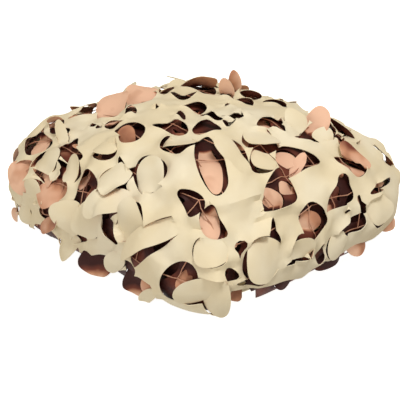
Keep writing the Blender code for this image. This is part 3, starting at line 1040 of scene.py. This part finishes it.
SECOND_LEAVES = [
    shown(227, 104, 200, 120, 50, 60, -56, 1.2, tone=0, cup=0),
    shown(212, 78, 182, 104, 50, 70, -68, 1.25, tone=0, cup=0),
    shown(275, 158, 263, 128, 28, 40, -24, 1.15, tone=0.3),
    Leaf(236, 112, 243, 88, 14, 20, 0, 1, tone=0.15, through=True),
    shown(318, 96, 321, 174, 28, 26, -30, 1),
    Leaf(351, 150, 2, 166, 32, 26, -20, 1, tone=0.15, through=True),
    Leaf(353, 190, 6, 166, 15, 34, -20, 1, tone=0, through=True),
    shown(22, 133, 36, 132, 34, 68, -30, 1.35, tone=0.05, cup=0, twist=0),
    shown(340, 12, 262, 32, 26, 34, -34, 1, tone=0.05, cup=0),
    shown(341, 216, 343, 186, 34, 36, -40, 1, tone=0.15),
    shown(354, 204, 346, 188, 20, 36, -35, 1, tone=0),
    shown(352, 264, 356, 238, 34, 32, -20, 1, tone=0.3),
    shown(318, 184, 319, 226, 28, 40, -40, 1, tone=0),
    shown(233, 212, 232, 266, 58, 60, -64, 1.1, tone=0.3, blush=0.3),
    Leaf(235, 210, 248, 238, 22, 20, 0, 1, tone=0, through=True),
    shown(256, 220, 245, 266, 36, 52, -52, 1.05, tone=0.38),
    shown(343, 298, 344, 326, 40, 30, 0, 1, tone=0.95),
    # these two curl out under the hem: tone 1.1 paints shade at the root, blush paints light on the
    # pink tip
    shown(275, 296, 272, 346, 48, -8, 84, 1, tone=1.1, blush=1, cup=-0.5),
    shown(293, 304, 294, 348, 40, -8, 84, 1, tone=1.1, blush=1, cup=-0.5),
    shown(302, 294, 300, 336, 34, 26, -10, 1, tone=0.55, blush=0.4),
    shown(3, 300, 3, 332, 50, 50, -10, 1, tone=1, twist=0),
    shown(17, 300, 17, 332, 36, 46, 0, 1, tone=0.3, twist=0.3),
    shown(32, 286, 33, 322, 32, 46, -10, 1, tone=0.15, twist=0.3),
    Leaf(313, 268, 310, 300, 20, 26, -10, 1, tone=0.5, fill=1),
    Leaf(266, 214, 270, 246, 20, 20, 0, 1, tone=0.45),
    Leaf(8, 240, 11, 216, 20, 20, 0, 1, tone=0.55),
    Leaf(336, 244, 335, 218, 16, 14, 0, 1, tone=0.55),
    Leaf(20, 196, 14, 204, 20, 26, -10, 1, tone=0.35),
    Leaf(306, 88, 322, 76, 16, 24, -10, 1, tone=0.3),
    Leaf(290, 90, 304, 84, 12, 20, 0, 1, tone=0.45),
    Leaf(285, 168, 290, 152, 18, 24, 0, 1, tone=0.2),
]


def companion(cut):
    """A leaf of the second layer that rises into an opening of the outer one and levels off."""
    lift = math.degrees(math.asin(min(0.9, 2 * COMPANION_RISE / cut.length)))
    return cut.leaf._replace(
        width=0.8 * cut.leaf.width, lift=lift, curl=-0.9 * lift, spread=1.05, lean=0.0, point=0.0,
        fill=1, through=True, cup=0.0)


companions = [companion(cut) for cut, _ in outer_cuts[len(rows):]
              if cut.is_open and cut.leaf.width > COMPANION_WIDTH]
second_cuts = place_cuts(
    SECOND_LEAVES + companions[::2], more=170, seed=21, limit=FULL_REACH - 0.02, open_share=0.35,
    lifts=(14, 40), sizes=(28, 56), gap=0.003, tones=(0, 0.1, 0.25, 0.4, 0.7))
# tone 0.85 is dark maroon, painted shade for the shadow under the outer layer
second = cut_layer("second_layer", SECOND, second_cuts, hem_outline(further=0.03, count=240),
                   spacing=0.0065, lip=0.002, tone=0.85,
                   ceiling=under_outer(SECOND, above=0.008, steep=1.2))
finish_cloth(second, BROWN_AND_SHADE, SAND)

# %% [markdown]
# ## The third layer
#
# It closes off the inside, and its near-black maroon is painted shade, so that the openings end in
# dark. Its few leaves hardly stand.

# %% Third layer
third_cuts = place_cuts([], more=90, seed=5, limit=FULL_REACH - 0.07, open_share=0, lifts=(6, 16),
                        sizes=(34, 60), gap=0.005, tones=(0.6, 1))
# tone 0.95 is near-black maroon, painted shade for the dark deep in the openings
third = cut_layer("third_layer", THIRD, third_cuts, hem_outline(further=0.034, count=160),
                  spacing=0.009, lip=0.002, tone=0.95)
finish_cloth(third, BROWN_AND_SHADE, SAND)

# %% [markdown]
# ## The folds inside
#
# The layers further in are one strip, folded back and forth along the bundle.

# %% Folded strip
LAYERS = 14
STACK_SHARE = 0.82
STACK_NARROWING = 0.20
FOOT_NARROWING = 0.06
STACK_TOP = 0.150
STACK_CROWN = 0.35
CELLS = 14
FOLD_STEPS = 4
SIDE_HOLLOW = 0.10  # how far the sides of a layer draw in between its corners
STRIP_REST = 0.0006
RIPPLE = 0.003
STRIP_CELL = (0.024, 0.027)  # across and along the strip, in its flat pattern
# near-black maroon: painted shade for the dark inside the bundle
STRIP_SHADE_TONE = 0.9


def layer_place(level, u, v):
    """Point of a folded layer. u and v run from -1 to 1 along X and Y."""
    share = level / (LAYERS - 1)
    shrink = STACK_SHARE * (1 - STACK_NARROWING * share ** 3 - FOOT_NARROWING * (1 - share) ** 6)
    across = shrink * u * (1 - SIDE_HOLLOW * abs(v) ** 3)
    along = shrink * v * (1 - SIDE_HOLLOW * abs(u) ** 3)
    plan_share = (abs(across) ** PLAN_POWER + abs(along) ** PLAN_POWER) ** (1 / PLAN_POWER)
    height = STRIP_REST + STACK_TOP * share * (1 - STACK_CROWN * plan_share ** 3)
    ripple = RIPPLE * min(1, level) * noise.noise(Vector((across * 4, along * 4, level * 3.1)))
    return np.array([HALF_LENGTH * across, HALF_WIDTH * along, height + ripple])


def folded_strip():
    cells = [2 * i / CELLS - 1 for i in range(CELLS + 1)]
    rows = []
    for level in range(LAYERS):
        way = 1 if level % 2 == 0 else -1
        rows += [[layer_place(level, u * way, v) for v in cells] for u in cells]
        if level == LAYERS - 1:
            break
        for step in range(1, FOLD_STEPS):
            turn = math.pi * step / FOLD_STEPS
            row = []
            for v in cells:
                low = layer_place(level, way, v)
                high = layer_place(level + 1, way, v)
                bulge = np.array([way * np.linalg.norm(high - low) / 2 * math.sin(turn), 0, 0])
                row.append(low + (high - low) * (1 - math.cos(turn)) / 2 + bulge)
            rows.append(row)
    return np.array(rows)


grid = folded_strip()
wide = CELLS + 1
quads = [(i * wide + j, (i + 1) * wide + j, (i + 1) * wide + j + 1, i * wide + j + 1)
         for i in range(len(grid) - 1) for j in range(CELLS)]
steps = np.stack(np.meshgrid(np.arange(wide), np.arange(len(grid))), axis=-1)
strip = cloth_object("inner_folds", grid.reshape(-1, 3), quads, steps.reshape(-1, 2) * STRIP_CELL,
                     tone=np.full(grid.size // 3, STRIP_SHADE_TONE))
finish_cloth(strip, BROWN_AND_SHADE, SAND)

# %% [markdown]
# ## The support net
#
# Brown string in squares. It follows the inside of the outer layer a few millimetres down, and
# sways a little from knot to knot.

# %% Strings
NET_ROWS = 11  # squares each way
NET_REACH = 0.285
STRING_RADIUS = 0.0007
NET_DEPTH = 0.0045  # below the outer layer
NET_SLACK = 0.003
NET_SWAY = 0.0045
STEPS = 6  # from knot to knot


def net_flat(i, j):
    u = 2 * i / NET_ROWS - 1
    v = 2 * j / NET_ROWS - 1
    return flat_place(math.degrees(math.atan2(v, u)), NET_REACH * max(abs(u), abs(v)))


def string_path(ends):
    """Places along one string, from knot to knot, with a little slack."""
    points = [before + (after - before) * step / STEPS
              for before, after in zip(ends, ends[1:]) for step in range(STEPS)]
    flat = np.array(points + [ends[-1]])
    places = np.c_[flat, flat[:, :1]]
    sway = NET_SWAY * np.stack([waves(places, scale=45, seed=seed) for seed in (7, 17)], 1)
    deep = NET_DEPTH + NET_SLACK * waves(places, scale=30, seed=27)
    return dome(flat + sway, Layer(0, 0, 0), -deep)


curve = bpy.data.curves.new("strings", "CURVE")
curve.dimensions = "3D"
curve.bevel_depth = STRING_RADIUS
curve.bevel_resolution = 1
curve.use_fill_caps = True
knots = range(NET_ROWS + 1)
lines = [[net_flat(i, j) for i in knots] for j in knots]
lines += [[net_flat(i, j) for j in knots] for i in knots]
for line in lines:
    path = string_path(line)
    spline = curve.splines.new("POLY")
    spline.points.add(len(path) - 1)
    spline.points.foreach_set("co", np.c_[path, np.ones(len(path))].ravel())
strings_curve = add_object("strings_curve", curve)
bpy.context.view_layer.update()
evaluated = strings_curve.evaluated_get(bpy.context.evaluated_depsgraph_get())
shape = bpy.data.meshes.new_from_object(evaluated)
bpy.data.objects.remove(strings_curve)
strings = add_object("support_strings", shape)
strings.data.materials.clear()
strings.data.materials.append(STRING)
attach(strings, "root")
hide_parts("support_net")
print("strings", len(strings.data.polygons), "faces")

# %% [markdown]
# ## Floor and light
#
# A pale floor shows white but throws no light upwards. A small key lamp is high on the right, and a
# low wide one in front reaches a little way into the openings. Warm surroundings fill the rest.

# %% Floor and lamps
LAMP_TARGET = Vector((0, 0, 0.08))
FLOOR_GLOW = 0.9
SURROUND_GLOW = 0.44
bpy.ops.mesh.primitive_plane_add(size=12, location=(0, 0, -0.0005))
floor = bpy.context.active_object
floor.name = "floor"
floor_finish = Finish("pale_floor")
floor_finish.feed({"Base Color": rgb(0.93, 0.93, 0.93), "Roughness": 0.9,
                   "Emission Color": rgb(1, 1, 1), "Emission Strength": FLOOR_GLOW})
floor.visible_diffuse = False
floor.data.materials.append(floor_finish.material)


def soft_lamp(name, bearing, height, distance_away, size, power):
    lamp = add_object(name, bpy.data.lights.new(name, "AREA"))
    lamp.data.size = size
    lamp.data.energy = power
    lamp.location = look_from(math.radians(bearing), math.radians(height)) * distance_away
    turn_to(lamp, LAMP_TARGET)


soft_lamp("key", bearing=75, height=62, distance_away=2.0, size=0.5, power=18)
soft_lamp("fill", bearing=15, height=4, distance_away=2.4, size=1.4, power=22)
world = bpy.data.worlds.new("studio")
bpy.context.scene.world = world
world.use_nodes = True
surround = world.node_tree.nodes["Background"].inputs
surround["Color"].default_value = rgb(1, 0.91, 0.75)
surround["Strength"].default_value = SURROUND_GLOW
bpy.context.scene.view_settings.view_transform = "Standard"
print("lamps and floor set")

# %% [markdown]
# ## The end
#

# %% The end
print("scene built")
